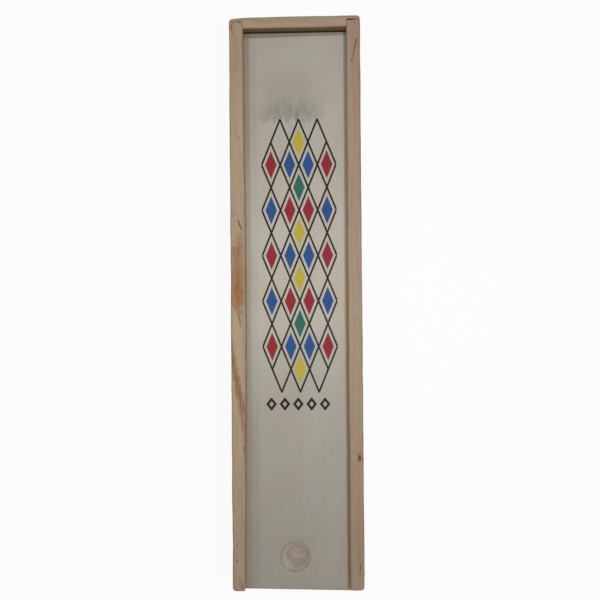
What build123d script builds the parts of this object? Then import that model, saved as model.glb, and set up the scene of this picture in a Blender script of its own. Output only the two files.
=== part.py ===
from build123d import *
import os
from math import sqrt
from random import Random

# A wooden box with a sliding lid, holding a full set of forty-one pick-up sticks.
# Two side rails run the whole length. The head board and the foot board are rabbeted, so that a
# thin lip of each covers the end grain of the rails. The plywood lid runs in a groove cut in the
# rails and in the head board, and leaves over the lower foot board. The plywood base lies in a
# rebate, flush with the underside. The sticks lie loose in nested rows, the last row askew on top.
#
# Millimetres. +Z is up, +Y points to the closed head end, and the lid slides out towards -Y.
# The origin is the middle of the underside.

# The sticks and how loosely they lie
stick_diameter = 3.0
stick_length = 180.0
point_length = 9.0
tip_diameter = 0.6
stick_gap = 0.15
seat_gap = 0.2
stagger = 2.5
top_row_taper = 0.88
stick_sets = {
    "twenty_point_stick": 1,
    "ten_point_stick": 5,
    "five_point_stick": 5,
    "three_point_stick": 15,
    "two_point_stick": 15,
}
shuffle_seed = 48

# The hollow that the sticks lie in
inner_width = 36.0
end_play = 6.0
headroom = 6.2

# The boards
rail_thickness = 4.8
end_thickness = 4.0
lip_thickness = 1.5
corner_radius = 1.2
edge_radius = 0.8
under_radius = 0.4

# The lid, its groove and the finger recess
lid_thickness = 3.0
lid_depth = 4.0
gap_below_lid = 0.2
gap_above_lid = 0.6
lid_side_gap = 0.3
lid_setback = 0.2
lid_edge_radius = 0.3
rail_groove = 2.4
recess_diameter = 10.2
recess_core_diameter = 7.6
recess_rim_depth = 0.3
recess_depth = 1.1
recess_fillet = 0.6
recess_inset = 11.3
recess_shift = -1.1

# The base panel and its rebate
base_thickness = 3.0
rail_rebate = 2.4
base_gap = 0.1

# A point this near a line or plane lies on it
tolerance = 0.01

# Plan of the box
inner_length = stick_length + 2 * end_play
box_length = inner_length + 2 * end_thickness
box_width = inner_width + 2 * rail_thickness
rail_length = box_length - 2 * lip_thickness

# The pile of sticks, from the base up
stick_radius = stick_diameter / 2
pitch = stick_diameter + stick_gap
nest_rise = pitch * sqrt(3) / 2
pile_width = inner_width - 2 * seat_gap
row_capacity = int((pile_width + stick_gap) / pitch)
stick_count = sum(stick_sets.values())


def pile_rows():
    """How many sticks lie in each row: full rows that nest, then what is left."""
    rows = []
    left = stick_count
    while left > 0:
        room = row_capacity - len(rows) % 2
        rows.append(min(room, left))
        left -= rows[-1]
    return rows


rows = pile_rows()
nested_rows = len(rows) - 1
first_height = base_thickness + seat_gap + stick_radius
top_height = first_height + (nested_rows - 1) * nest_rise + pitch
pile_top = top_height + stick_radius

# Heights of the boards, from the pile up
lid_underside = pile_top + headroom
lid_top = lid_underside + lid_thickness
groove_floor = lid_underside - gap_below_lid
groove_height = gap_below_lid + lid_thickness + gap_above_lid
box_height = lid_top + lid_depth

# Ends of the lid. The groove of the head board is as deep as the back of its lips.
lid_head_end = rail_length / 2 - lid_side_gap
lid_foot_end = -box_length / 2 + lid_setback
lid_length = lid_head_end - lid_foot_end
lid_width = inner_width + 2 * (rail_groove - lid_side_gap)

# How far the moving pieces travel
lid_travel = lid_head_end + box_length / 2 + lid_side_gap
stick_travel = end_play - stagger - seat_gap


def end_board(height, foot):
    """One end board, with a lip at each side that covers a rail, and a rebate for the base."""
    outer_face = box_length / 2
    lip_back = rail_length / 2
    with BuildPart() as board:
        with BuildSketch(Plane.XY):
            with Locations((0, outer_face - lip_thickness / 2)):
                Rectangle(box_width, lip_thickness)
            with Locations((0, outer_face - end_thickness / 2)):
                Rectangle(inner_width, end_thickness)
        extrude(amount=height)
        with BuildSketch(Plane.XY):
            with Locations((0, inner_length / 2)):
                Rectangle(inner_width, 2 * (end_thickness - lip_thickness))
        extrude(amount=base_thickness, mode=Mode.SUBTRACT)
        if not foot:
            with BuildSketch(Plane.XY.offset(groove_floor)):
                with Locations((0, inner_length / 2)):
                    Rectangle(inner_width, 2 * (end_thickness - lip_thickness))
            extrude(amount=groove_height, mode=Mode.SUBTRACT)
        corners = board.edges().filter_by(Axis.Z).filter_by(
            lambda e: abs(e.center().X) > box_width / 2 - tolerance
            and e.center().Y > outer_face - tolerance
        )
        fillet(corners, radius=corner_radius)
        rims = board.edges().group_by(Axis.Z)
        for rim, radius in ((rims[-1], edge_radius), (rims[0], under_radius)):
            outline = rim.filter_by(lambda e: e.center().Y > lip_back + tolerance)
            fillet(outline, radius=radius)
        if foot:
            mirror(about=Plane.XZ, mode=Mode.REPLACE)
    return board.part


def side_rail():
    """The right-hand rail: a straight board with the lid's groove and the base's rebate."""
    inner_face = inner_width / 2
    outer_face = box_width / 2
    rail_end = rail_length / 2
    with BuildPart() as rail:
        with BuildSketch(Plane.XZ.offset(-rail_end)):
            with Locations((inner_face + rail_thickness / 2, box_height / 2)):
                Rectangle(rail_thickness, box_height)
            with Locations((inner_face, groove_floor + groove_height / 2)):
                Rectangle(2 * rail_groove, groove_height, mode=Mode.SUBTRACT)
            with Locations((inner_face, base_thickness / 2)):
                Rectangle(2 * rail_rebate, base_thickness, mode=Mode.SUBTRACT)
        extrude(amount=rail_length)
        # The end over the foot board is left bare, so its upright corner is rounded there.
        with BuildSketch(Plane.XY.offset(groove_floor)):
            with Locations((outer_face - corner_radius / 2, corner_radius / 2 - rail_end)):
                Rectangle(corner_radius, corner_radius)
            with Locations((outer_face - corner_radius, corner_radius - rail_end)):
                Circle(corner_radius, mode=Mode.SUBTRACT)
        extrude(amount=box_height - groove_floor, mode=Mode.SUBTRACT)
        top_rim = rail.edges().group_by(Axis.Z)[-1].filter_by(
            lambda e: e.center().X > inner_face + tolerance and e.center().Y < rail_end - tolerance
        )
        fillet(top_rim, radius=edge_radius)
        under_rim = rail.edges().group_by(Axis.Z)[0].filter_by(Axis.Y).sort_by(Axis.X)[-1]
        fillet(under_rim, radius=under_radius)
    return rail.part


def base():
    """The plywood panel that closes the underside."""
    with BuildPart() as panel:
        with BuildSketch(Plane.XY):
            Rectangle(inner_width + 2 * (rail_rebate - base_gap), rail_length - 2 * base_gap)
        extrude(amount=base_thickness)
    return panel.part


def lid():
    """The plywood lid, with a stepped round recess for a finger near its foot end."""
    floor_height = lid_top - recess_depth
    with BuildPart() as plate:
        with BuildSketch(Plane.XY.offset(lid_underside)):
            with Locations((0, (lid_head_end + lid_foot_end) / 2)):
                Rectangle(lid_width, lid_length)
        extrude(amount=lid_thickness)
        ends = plate.edges().filter_by(Axis.X)
        fillet(ends, radius=lid_edge_radius)
        with Locations((recess_shift, lid_foot_end + recess_inset, lid_top)):
            CounterBoreHole(
                radius=recess_core_diameter / 2,
                counter_bore_radius=recess_diameter / 2,
                counter_bore_depth=recess_rim_depth,
                depth=recess_depth,
            )
        floor_ring = plate.edges().filter_by(GeomType.CIRCLE).filter_by(
            lambda e: abs(e.center().Z - floor_height) < tolerance
        )
        fillet(floor_ring, radius=recess_fillet)
    return plate.part


def stick(middle, direction):
    """One turned stick, sharpened at both ends, with its middle and its direction given."""
    half = stick_length / 2
    tip_radius = tip_diameter / 2
    across = Vector(0, 0, 1).cross(direction)
    with BuildPart() as rod:
        with BuildSketch(Plane(origin=middle, x_dir=(0, 0, 1), z_dir=across)):
            with BuildLine():
                Polyline(
                    (0, -half),
                    (tip_radius, -half),
                    (stick_radius, point_length - half),
                    (stick_radius, half - point_length),
                    (tip_radius, half),
                    (0, half),
                    close=True,
                )
            make_face()
        revolve(axis=Axis(middle, direction))
    return rod.part


def pile_places():
    """Where each stick lies: its X at the head and at the foot, and its height."""
    places = []
    for row, count in enumerate(rows[:-1]):
        for index in range(count):
            x = (index - (count - 1) / 2) * pitch
            places.append((x, x, first_height + row * nest_rise))
    # The top row lies loose: it spreads over the whole width at the head and less at the foot.
    count = rows[-1]
    head_pitch = pile_width / count
    foot_pitch = max(pitch, head_pitch * top_row_taper)
    for index in range(count):
        offset = index - (count - 1) / 2
        places.append((offset * head_pitch, offset * foot_pitch, top_height))
    return places


def pile():
    """All the sticks by name, the kinds mixed over the pile and the ends out of line."""
    luck = Random(shuffle_seed)
    places = pile_places()
    luck.shuffle(places)
    sticks = {}
    for kind, count in stick_sets.items():
        for number in range(1, count + 1):
            head_x, foot_x, height = places.pop()
            middle = Vector((head_x + foot_x) / 2, luck.uniform(-stagger, stagger), height)
            direction = Vector(head_x - foot_x, stick_length, 0).normalized()
            name = kind if count == 1 else f"{kind}_{number:02d}"
            sticks[name] = stick(middle, direction)
    return sticks


right_rail = side_rail()
pieces = {
    "right_rail": right_rail,
    "left_rail": mirror(right_rail, about=Plane.YZ),
    "head_board": end_board(box_height, foot=False),
    "foot_board": end_board(groove_floor, foot=True),
    "base_panel": base(),
    "sliding_lid": lid(),
}
pieces.update(pile())

os.makedirs("parts", exist_ok=True)
for name, piece in pieces.items():
    piece.label = name
    export_step(piece, f"parts/{name}.step")

print(f"box {box_width:.1f} x {box_length:.1f} x {box_height:.1f} mm, {len(pieces)} pieces, rows {rows}")
print(f"lid {lid_width:.1f} x {lid_length:.1f} mm, travel {lid_travel:.1f}, sticks' travel {stick_travel:.1f}")
print(f"pile top {pile_top:.2f}, lid from {lid_underside:.2f} to {lid_top:.2f}")
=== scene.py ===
# %% [markdown]
# # A wooden box of pick-up sticks
# The box is a row of plain boards: two grooved side rails, a head board, a lower foot board, a base and
# a lid that slides. The frame holds each of them at its real size. This lesson gives them what planed
# wood has and a drawing lacks: grain that runs through the board, eased and worn edges, an open joint,
# plies in the lid's edge, a printed ornament, and paint on the sticks.

import bmesh
import bpy
from collections import namedtuple
from math import atan, cos, exp, pi, radians, sin
from mathutils import Matrix, Vector, noise


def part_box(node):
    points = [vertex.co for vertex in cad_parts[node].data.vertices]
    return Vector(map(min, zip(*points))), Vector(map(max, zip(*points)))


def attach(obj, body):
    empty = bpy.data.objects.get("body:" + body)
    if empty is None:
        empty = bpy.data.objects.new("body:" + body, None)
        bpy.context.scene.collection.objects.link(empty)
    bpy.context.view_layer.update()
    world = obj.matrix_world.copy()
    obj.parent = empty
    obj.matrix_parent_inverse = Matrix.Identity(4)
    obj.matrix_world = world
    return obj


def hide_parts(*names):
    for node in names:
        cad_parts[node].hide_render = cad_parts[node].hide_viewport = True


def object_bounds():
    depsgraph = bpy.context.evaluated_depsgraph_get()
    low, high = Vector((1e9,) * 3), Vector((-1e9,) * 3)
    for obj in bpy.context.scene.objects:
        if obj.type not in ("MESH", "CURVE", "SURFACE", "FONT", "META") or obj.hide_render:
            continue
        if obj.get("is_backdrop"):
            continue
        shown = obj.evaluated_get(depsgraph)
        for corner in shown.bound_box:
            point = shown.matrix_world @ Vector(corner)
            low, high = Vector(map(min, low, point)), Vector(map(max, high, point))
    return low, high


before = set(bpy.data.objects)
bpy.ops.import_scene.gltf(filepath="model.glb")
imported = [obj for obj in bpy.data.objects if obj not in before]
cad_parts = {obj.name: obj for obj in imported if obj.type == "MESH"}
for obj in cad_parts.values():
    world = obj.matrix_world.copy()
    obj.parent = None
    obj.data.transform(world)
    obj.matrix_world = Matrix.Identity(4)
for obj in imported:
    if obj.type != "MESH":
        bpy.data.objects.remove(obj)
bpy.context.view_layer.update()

# %% [markdown]
# Everything below is thought out in millimetres, because the box is small, and Blender works in metres.
# `mm` turns one into the other. The places of grooves and rebates aren't written down a second time:
# they follow from the boxes of the pieces that run in them, and from the gaps that the joiner left.

# %% Sizes read from the frame
mm = 0.001
rail_low, rail_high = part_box("right_rail")
lid_low, lid_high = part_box("sliding_lid")
base_low, base_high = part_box("base_panel")
head_low, head_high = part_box("head_board")
foot_low, foot_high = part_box("foot_board")

lid_side_gap = 0.3 * mm
gap_above_lid = 0.6 * mm
groove_wall = lid_high.x + lid_side_gap
groove_top = lid_high.z + gap_above_lid
groove_floor = foot_high.z
lip_back = rail_high.y
inner_edge = rail_low.x


def in_mm(values):
    return [round(v / mm, 2) for v in values]


print("rail in mm:", in_mm(rail_high - rail_low), "and the groove's wall at:", in_mm([groove_wall]))

# %% [markdown]
# ## Shader maths
# A wood pattern is arithmetic on coordinates. Written as nodes it would be pages of wiring, so a small
# class wraps an output socket: adding or multiplying two wires adds the Math node. Each operator has its
# reflected form as well, so that `1 - mask` works with the plain number in front.

# %% A wire that can be added and multiplied
class Wire:
    """One output socket. Arithmetic on wires adds Math nodes, so a pattern reads as an expression."""

    def __init__(self, sheet, socket):
        self.sheet = sheet
        self.socket = socket

    def __add__(self, other):
        return self.sheet.math("ADD", self, other)

    def __sub__(self, other):
        return self.sheet.math("SUBTRACT", self, other)

    def __rsub__(self, other):
        return self.sheet.math("SUBTRACT", other, self)

    def __mul__(self, other):
        return self.sheet.math("MULTIPLY", self, other)

    def __truediv__(self, other):
        return self.sheet.math("DIVIDE", self, other)

    def __rtruediv__(self, other):
        return self.sheet.math("DIVIDE", other, self)

    def __lt__(self, other):
        return self.sheet.math("LESS_THAN", self, other)

    def __gt__(self, other):
        return self.sheet.math("GREATER_THAN", self, other)

    __radd__ = __add__
    __rmul__ = __mul__


print("what a wire can do:", [name for name, made in vars(Wire).items() if callable(made)])

# %% [markdown]
# Every other node goes through one method, `node`. It takes the kind of node, its settings, which are
# set first because some of them change the sockets, and what the sockets hold: a number, a colour or a
# wire. The same sheet writes the nodes of a material and those of the world.

# %% The sheet that nodes are written on
class Sheet:
    """The node tree of one material or world."""

    def __init__(self, owner):
        owner.use_nodes = True
        self.owner = owner
        self.tree = owner.node_tree
        self.tree.nodes.clear()

    def node(self, kind, settings=None, values=None, output=0):
        """Adds a node, sets it up, fills or links its sockets, and returns one output as a wire."""
        node = self.tree.nodes.new("ShaderNode" + kind)
        for name, setting in (settings or {}).items():
            setattr(node, name, setting)
        for name, value in (values or {}).items():
            if isinstance(value, Wire):
                self.tree.links.new(value.socket, node.inputs[name])
            else:
                node.inputs[name].default_value = value
        return Wire(self, node.outputs[output]) if node.outputs else None

    def math(self, operation, *values):
        return self.node("Math", {"operation": operation}, dict(enumerate(values)))

    def vector_math(self, operation, *values):
        return self.node("VectorMath", {"operation": operation}, dict(enumerate(values)))

    def scaled(self, vector, amount):
        return self.node("VectorMath", {"operation": "SCALE"}, {0: vector, "Scale": amount})


def material_sheet(name):
    return Sheet(bpy.data.materials.new(name))


print("materials in the frame:", [m.name for m in bpy.data.materials])

# %% [markdown]
# A few tools come back in every finish. `step` is a soft threshold, and `blend` mixes two colours.
# Colours are written as they look on screen, and `tone` turns them into the linear values that the
# shader wants.

# %% Helpers for tones and thresholds
def tone(red, green, blue):
    """A colour given as screen values from 0 to 255, made linear by the standard screen curve."""
    shares = [value / 255 for value in (red, green, blue)]
    return tuple(s / 12.92 if s <= 0.04045 else ((s + 0.055) / 1.055) ** 2.4 for s in shares) + (1.0,)


def step(value, low, high):
    """0 below low, 1 above high and a smooth ramp between. It falls if low is above high."""
    if low > high:
        return 1 - step(value, high, low)
    limits = {"Value": value, "From Min": low, "From Max": high}
    return value.sheet.node("MapRange", {"interpolation_type": "SMOOTHSTEP"}, limits)


print("a mid wood tone is", [round(v, 3) for v in tone(162, 143, 121)[:3]])


# %% Helpers for colours and vectors
mix_first, mix_second, mix_result = 6, 7, 2


def blend(share, first, second):
    """Mixes two colours: the first where share is 0, the second where it is 1."""
    values = {0: share, mix_first: first, mix_second: second}
    return share.sheet.node("Mix", {"data_type": "RGBA"}, values, output=mix_result)


def shade(colour, amount):
    """A colour made darker or lighter by a number."""
    return amount.sheet.scaled(colour if isinstance(colour, Wire) else colour[:3], amount)


def split(vector):
    """The three numbers of a vector."""
    x = vector.sheet.node("SeparateXYZ", {}, {0: vector})
    return [Wire(vector.sheet, output) for output in x.socket.node.outputs]


def join(sheet, x, y, z):
    return sheet.node("CombineXYZ", {}, {0: x, 1: y, 2: z})


def size_of(value):
    return value.sheet.math("ABSOLUTE", value)


print("the Mix node's colours are its sockets", mix_first, "and", mix_second)

# %% [markdown]
# Wood fibres are noise that changes often across the grain and seldom along it. A `Pattern` names such a
# noise: how many times it changes in a millimetre each way, how fine and rough it is, and how far its
# start is moved, so that no two boards are alike. `spots` are the parts that rise over its threshold.

# %% Patterns of streaks and spots
usual_values = (0.5, 0.0, 0.0, 1.0)
Pattern = namedtuple("Pattern", "across along detail rough shift low high", defaults=usual_values)


def streaks(place, pattern, shift=0.0):
    """A pattern as noise from 0 to 1, with its grain along Y."""
    sheet = place.sheet
    start = pattern.shift + shift
    squeezed = sheet.vector_math("MULTIPLY", place, (pattern.across, pattern.along, pattern.across))
    moved = sheet.vector_math("ADD", squeezed, (start, 2 * start, 3 * start))
    values = {"Vector": moved, "Scale": 1.0, "Detail": pattern.detail, "Roughness": pattern.rough}
    return sheet.node("TexNoise", {}, values)


def spots(place, pattern, shift=0.0):
    """0 where a pattern is below its low value, 1 where it is above its high one."""
    return step(streaks(place, pattern, shift), pattern.low, pattern.high)


print("a pattern has:", ", ".join(Pattern._fields))

# %% [markdown]
# Wood is solid, so its pattern has to be solid too. Coordinates come from the object, not from a UV map:
# a growth ring that crosses the top of a rail then goes on down its side and shows as an arc on the end.
# Edges get their wear from the distance to the nearest outer edge of the board.

# %% Where a point of the surface is
def place_in_mm(sheet):
    """The point's place on the object, in millimetres."""
    return sheet.scaled(sheet.node("TexCoord", {}, {}, output="Object"), 1 / mm)


def turned(place):
    """The same place with X and Y exchanged, for wood whose grain runs along X."""
    x, y, z = split(place)
    return join(place.sheet, y, x, z)


def sawn_end(sheet, axis):
    """1 where the surface faces along an axis, whichever way round, and 0 elsewhere."""
    normal = split(sheet.node("TexCoord", {}, {}, output="Normal"))
    return step(size_of(normal[axis]), 0.75, 0.95)


def arris_distance(place, low, high):
    """How far a point is from the nearest outer edge of a board, in millimetres."""
    sheet = place.sheet
    gaps = []
    for value, least, most in zip(split(place), low / mm, high / mm):
        gaps.append(sheet.math("MINIMUM", value - least, most - value))
    smaller = sheet.math("MINIMUM", gaps[0], gaps[1])
    larger = sheet.math("MAXIMUM", gaps[0], gaps[1])
    return sheet.math("MAXIMUM", smaller, sheet.math("MINIMUM", larger, gaps[2]))


print("a pattern counts in millimetres, of which the mesh's unit has", round(1 / mm))

# %% [markdown]
# ## Solid wood
# The rails and end boards are a pale, slightly pink wood that was planed and left bare. Growth rings are
# cylinders round a pith that lies outside the board, so a board is told where its pith is. Their
# distance is bent by slow noise, and a ring is a ramp that darkens slowly and ends sharply. Fibres and
# pores are streaks on top.

# %% How each board lay in its log
Board = namedtuple("Board", "node grain_axis pith ring_width shift rosy level")
left_board = Board("left_rail", 1, (-46.0, -9.0), 2.1, 3.0, 0.6, 1.0)
right_board = Board("right_rail", 1, (64.0, 30.0), 2.4, 31.0, 1.0, 0.875)
head_board = Board("head_board", 0, (120.0, -14.0), 2.2, 57.0, 0.7, 0.95)
foot_board = Board("foot_board", 0, (-82.0, 36.0), 2.0, 71.0, 0.9, 0.98)
print("ring widths in mm:", [b.ring_width for b in (left_board, right_board, head_board, foot_board)])


# %% Growth rings, fibres and pores
ring_drift = Pattern(0.07, 0.011, 2.0)
drift_in_rings = 4.5
wood_fibres = Pattern(7.0, 0.16, 3.0, 0.6, 5.0)
wood_pores = Pattern(5.5, 0.42, 1.0, 0.5, 9.0, 0.66, 0.76)


def timber(place, board, bend):
    """Rings, fibres and pores of a board whose grain runs along the second axis."""
    sheet = place.sheet
    across, _, up = split(place)
    right = across - board.pith[0]
    above = up - board.pith[1]
    drift = streaks(place, ring_drift, board.shift) * (drift_in_rings * board.ring_width)
    radius = sheet.math("SQRT", right * right + above * above) + drift + bend
    phase = sheet.math("FRACT", radius / board.ring_width)
    ring = phase * phase * phase
    return ring, streaks(place, wood_fibres, board.shift), spots(place, wood_pores, board.shift)


print("a ring darkens to half its depth at", round(0.5 ** (1 / 3), 2), "of its width")

# %% [markdown]
# A board's own marks are drawn on top: a knot, brown streaks, a scratch. Each one is a stroke from one
# place to another on the board's upper face, given in millimetres, that fades out below the surface.

# %% Strokes on a board's upper face
Mark = namedtuple("Mark", "start end width soft depth strength")
ragged_edge = Pattern(1.1, 0.5, 2.0)


def stroke(flat, ragged, mark):
    """A mask for one straight mark, seen from above."""
    sheet = flat.sheet
    start = Vector((*mark.start, 0))
    run = Vector((*mark.end, 0)) - start
    offset = sheet.vector_math("SUBTRACT", flat, start)
    dot = sheet.node("VectorMath", {"operation": "DOT_PRODUCT"}, {0: offset, 1: run}, output="Value")
    share = sheet.node("Clamp", {}, {"Value": dot / run.length_squared})
    ends = {0: offset, 1: sheet.scaled(run, share)}
    away = sheet.node("VectorMath", {"operation": "DISTANCE"}, ends, output="Value")
    half, soft = mark.width / 2, mark.soft / 2
    return step(away + ragged * mark.soft, half + soft, half - soft)


def marks_of(place, marks, top):
    """All the marks of one kind on a board, the strongest at each point."""
    sheet = place.sheet
    height = split(place)[2]
    flat = sheet.vector_math("MULTIPLY", place, (1.0, 1.0, 0.0))
    ragged = streaks(place, ragged_edge) - 0.5
    mask = None
    for mark in (Mark(*values) for values in marks):
        one = stroke(flat, ragged, mark) * step(height, top - mark.depth, top) * mark.strength
        mask = one if mask is None else sheet.math("MAXIMUM", mask, one)
    return mask


print("a mark has:", ", ".join(Mark._fields))

# %% [markdown]
# The left rail has a knot about half way, with brown smears round it, and below them a long brown band
# that swings across to the inner edge. Both rails have dark pin marks and a fine scratch or crack. A
# knot also pushes the growth rings aside, so its strokes are used twice.

# %% Marks on the two rails
Marks = namedtuple("Marks", "brown dark knot")
left_marks = Marks(
    brown=(
        ((-20.2, 17.0), (-20.2, 0.4), 3.8, 2.4, 3.0, 0.42),
        ((-20.3, 11.0), (-20.3, 1.5), 5.4, 1.8, 3.0, 0.62),
        ((-20.5, 8.0), (-20.0, 2.6), 1.7, 3.2, 3.0, 1.3),
        ((-19.3, 24.0), (-19.7, 14.0), 1.7, 2.6, 2.0, 0.62),
        ((-21.4, 20.0), (-21.2, 10.0), 1.0, 2.4, 2.0, 0.5),
        ((-20.2, 1.0), (-19.6, -2.6), 1.8, 1.8, 3.0, 0.75),
        ((-20.6, 0.0), (-19.2, -7.2), 0.9, 1.2, 2.5, 0.5),
        ((-22.6, -12.6), (-21.9, -19.0), 1.2, 1.0, 2.5, 0.85),
        ((-21.9, -19.0), (-21.0, -25.0), 1.8, 1.1, 2.5, 0.95),
        ((-21.0, -25.0), (-19.9, -30.5), 2.0, 1.1, 2.5, 1.0),
        ((-19.9, -30.5), (-18.6, -36.5), 1.9, 1.1, 2.5, 1.0),
        ((-19.1, -36.5), (-18.5, -43.0), 1.4, 1.2, 2.5, 0.75),
        ((-18.4, -43.0), (-18.0, -50.0), 0.8, 1.2, 2.5, 0.65),
        ((-21.6, -28.0), (-18.4, -44.5), 0.35, 0.7, 2.5, 0.85),
        ((-20.7, -29.5), (-18.2, -43.0), 0.25, 0.6, 2.5, 0.65),
        ((-18.1, -33.0), (-18.0, -48.0), 0.3, 0.6, 2.5, 0.85),
        ((-20.4, 92.0), (-20.4, 72.0), 3.8, 2.4, 3.0, 0.16),
        ((-21.8, 97.0), (-21.4, 94.0), 0.5, 1.0, 2.0, 1.1),
        ((-21.9, 98.1), (-20.9, 97.8), 0.5, 0.9, 1.0, 0.8),
        ((-19.2, 98.2), (-18.6, 97.5), 0.7, 0.9, 1.0, 0.9),
        ((-20.4, -94.5), (-19.4, -97.6), 0.7, 1.8, 2.0, 0.75),
        ((-18.4, -44.0), (-18.2, -56.0), 0.5, 1.4, 2.0, 0.5),
    ),
    dark=(
        ((-22.3, 33.6), (-21.6, 30.4), 0.3, 0.5, 0.8, 0.5),
        ((-20.6, 33.0), (-19.9, 29.1), 0.16, 0.3, 0.8, 0.6),
        ((-19.9, 29.1), (-18.8, 26.2), 0.4, 0.3, 0.8, 1.0),
        ((-21.5, -0.3), (-20.6, -2.2), 0.3, 0.4, 0.8, 0.6),
        ((-20.3, -2.6), (-19.2, -6.4), 0.28, 0.4, 0.8, 0.6),
        ((-22.3, 60.1), (-22.2, 59.5), 0.35, 0.4, 0.5, 0.6),
        ((-20.7, 60.6), (-20.6, 60.1), 0.3, 0.4, 0.5, 0.5),
        ((-19.6, 58.5), (-19.5, 57.8), 0.35, 0.4, 0.5, 0.7),
        ((-21.1, -82.4), (-21.0, -83.6), 0.3, 0.3, 0.5, 0.8),
        ((-21.1, -88.0), (-21.1, -88.6), 0.4, 0.3, 0.5, 0.9),
        ((-19.4, -96.8), (-19.4, -97.2), 0.4, 0.3, 0.5, 0.9),
        ((-18.5, -49.0), (-18.2, -51.2), 0.6, 0.5, 0.8, 0.7),
    ),
    knot=(
        ((-20.3, 6.6), (-20.2, 1.4), 1.2, 5.5, 6.0, 1.0),
        ((-20.0, 20.0), (-20.3, 6.0), 2.6, 5.0, 6.0, 0.66),
    ),
)
right_marks = Marks(
    brown=(
        ((21.5, -51.6), (21.4, -53.6), 1.0, 1.4, 2.0, 0.8),
        ((20.2, -76.0), (21.0, -93.0), 1.0, 2.6, 2.0, 0.35),
        ((20.4, -6.0), (20.4, -28.0), 3.8, 2.4, 3.0, 0.15),
    ),
    dark=(
        ((21.6, 91.4), (20.6, 87.8), 0.4, 0.5, 0.8, 0.9),
        ((20.6, 87.8), (19.7, 83.8), 0.24, 0.4, 0.8, 0.95),
        ((21.3, -52.4), (21.4, -53.2), 0.9, 0.6, 2.0, 1.0),
        ((21.4, -89.4), (21.3, -91.2), 0.3, 0.3, 0.5, 0.9),
    ),
    knot=(),
)
no_marks = Marks((), (), ())
print("marks on the left rail:", sum(map(len, left_marks)))
print("marks on the right rail:", sum(map(len, right_marks)))

# %% [markdown]
# The wood's own colour wanders between four tones, and the box is painted darker towards the foot, as
# shade where the light falls off. Dirt sits on the rubbed edges and along the head board's joints, and
# the head board's groove and inner face are darkened as painted shade.

# %% Colours of bare wood
pale_tan = tone(172, 151, 126)
rosy_tan = tone(170, 135, 116)
olive_tan = tone(160, 145, 117)
ash_tan = tone(162, 146, 123)
streak_brown = tone(127, 87, 43)
knot_orange = tone(145, 89, 34)
old_dirt = tone(126, 113, 97)
# near black: the dark joints, and painted shade in the head board's groove and under it
dark_line = tone(60, 33, 10)
dark_joint_and_groove_shade = tone(38, 19, 3)
shadow_brown = tone(92, 67, 43)
bare_tones = (pale_tan, rosy_tan, olive_tan, ash_tan)
print("wood tones in linear light:", [[round(v, 2) for v in bare[:3]] for bare in bare_tones])


# %% Painted shade towards the foot, and the head board's joints and painted shade
falloff_patches = Pattern(0.06, 0.04, 2.0, 0.5, 80.0)
falloff_wander = 50
falloff_from, falloff_to = 0.0, -95.0
rail_edge = inner_edge / mm
head_face = head_low.y / mm


def foot_falloff(place):
    """How much painted shade darkens the box where the light falls off: not at the head, most at the
    foot.
    """
    patchy = (streaks(place, falloff_patches) - 0.5) * falloff_wander
    return step(split(place)[1] + patchy, falloff_from, falloff_to)


def head_joints_and_shade(place, colour, top):
    """Darkens the head board's joints with the rails, and paints shade into its groove and onto its
    inner face.
    """
    x, y, z = split(place)
    back = lip_back / mm
    ceiling = groove_top / mm
    floor = groove_floor / mm
    # painted shade: the groove is darkened where little light reaches into it
    shaded_groove = step(z, ceiling + 1.1, ceiling + 0.2) * step(z, floor - 0.2, floor)
    colour = blend(shaded_groove * step(y, back, back - 0.1) * 0.95, colour, dark_joint_and_groove_shade)
    joint = step(size_of(x), rail_edge - 0.05, rail_edge + 0.05) * step(y, back + 0.12, back + 0.04)
    more_on_the_right = 0.62 + step(x, 0.0, 1.0) * 0.33
    colour = blend(joint * more_on_the_right, colour, dark_joint_and_groove_shade)
    # painted shade: the head board's inner face is darkened
    shaded_inner_face = step(y, head_face + 0.2, head_face + 0.1) * step(z, top - 0.2, top - 1.0)
    return blend(shaded_inner_face * 0.8, colour, shadow_brown)


# the painted shade towards the foot runs between these places, in mm
print("hands have darkened the wood from", falloff_from, "to", falloff_to, "mm")

# %% [markdown]
# Every wood ends in the same three sockets: a colour, a roughness and a bump whose depth is given in
# millimetres. Bare wood is rough, rougher on end grain and a little smoother where it is rubbed.

# %% The end of a wood's node tree
bare_gloss = 0.3


def finish_wood(sheet, colour, rough, relief, depth, gloss=bare_gloss):
    """Ends a wood's node tree. The relief is a height from 0 to 1, and depth says how many mm it is."""
    bump = sheet.node("Bump", {}, {"Strength": 1.0, "Distance": depth * mm, "Height": relief})
    values = {"Base Color": colour, "Roughness": rough, "Normal": bump, "Specular IOR Level": gloss}
    surface = sheet.node("BsdfPrincipled", {}, values)
    sheet.node("OutputMaterial", {}, {"Surface": surface})
    return sheet.owner


print("bare wood has a gloss of", bare_gloss)

# %% [markdown]
# The tones are laid over each other as patterns, from the slowest to the finest. Rings, fibres and pores
# then darken what lies there by a share each.

# %% The tones of planed wood
rosy_clouds = Pattern(0.13, 0.028, 2.0, 0.55, 13.0, 0.35, 0.68)
olive_patches = Pattern(0.3, 0.05, 1.0, 0.5, 21.0, 0.45, 0.7)
ash_mottle = Pattern(0.3, 0.17, 2.0, 0.5, 27.0, 0.42, 0.62)
ring_shade, fibre_shade, pore_shade, falloff_shade = 0.11, 0.26, 0.2, 0.13


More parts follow.
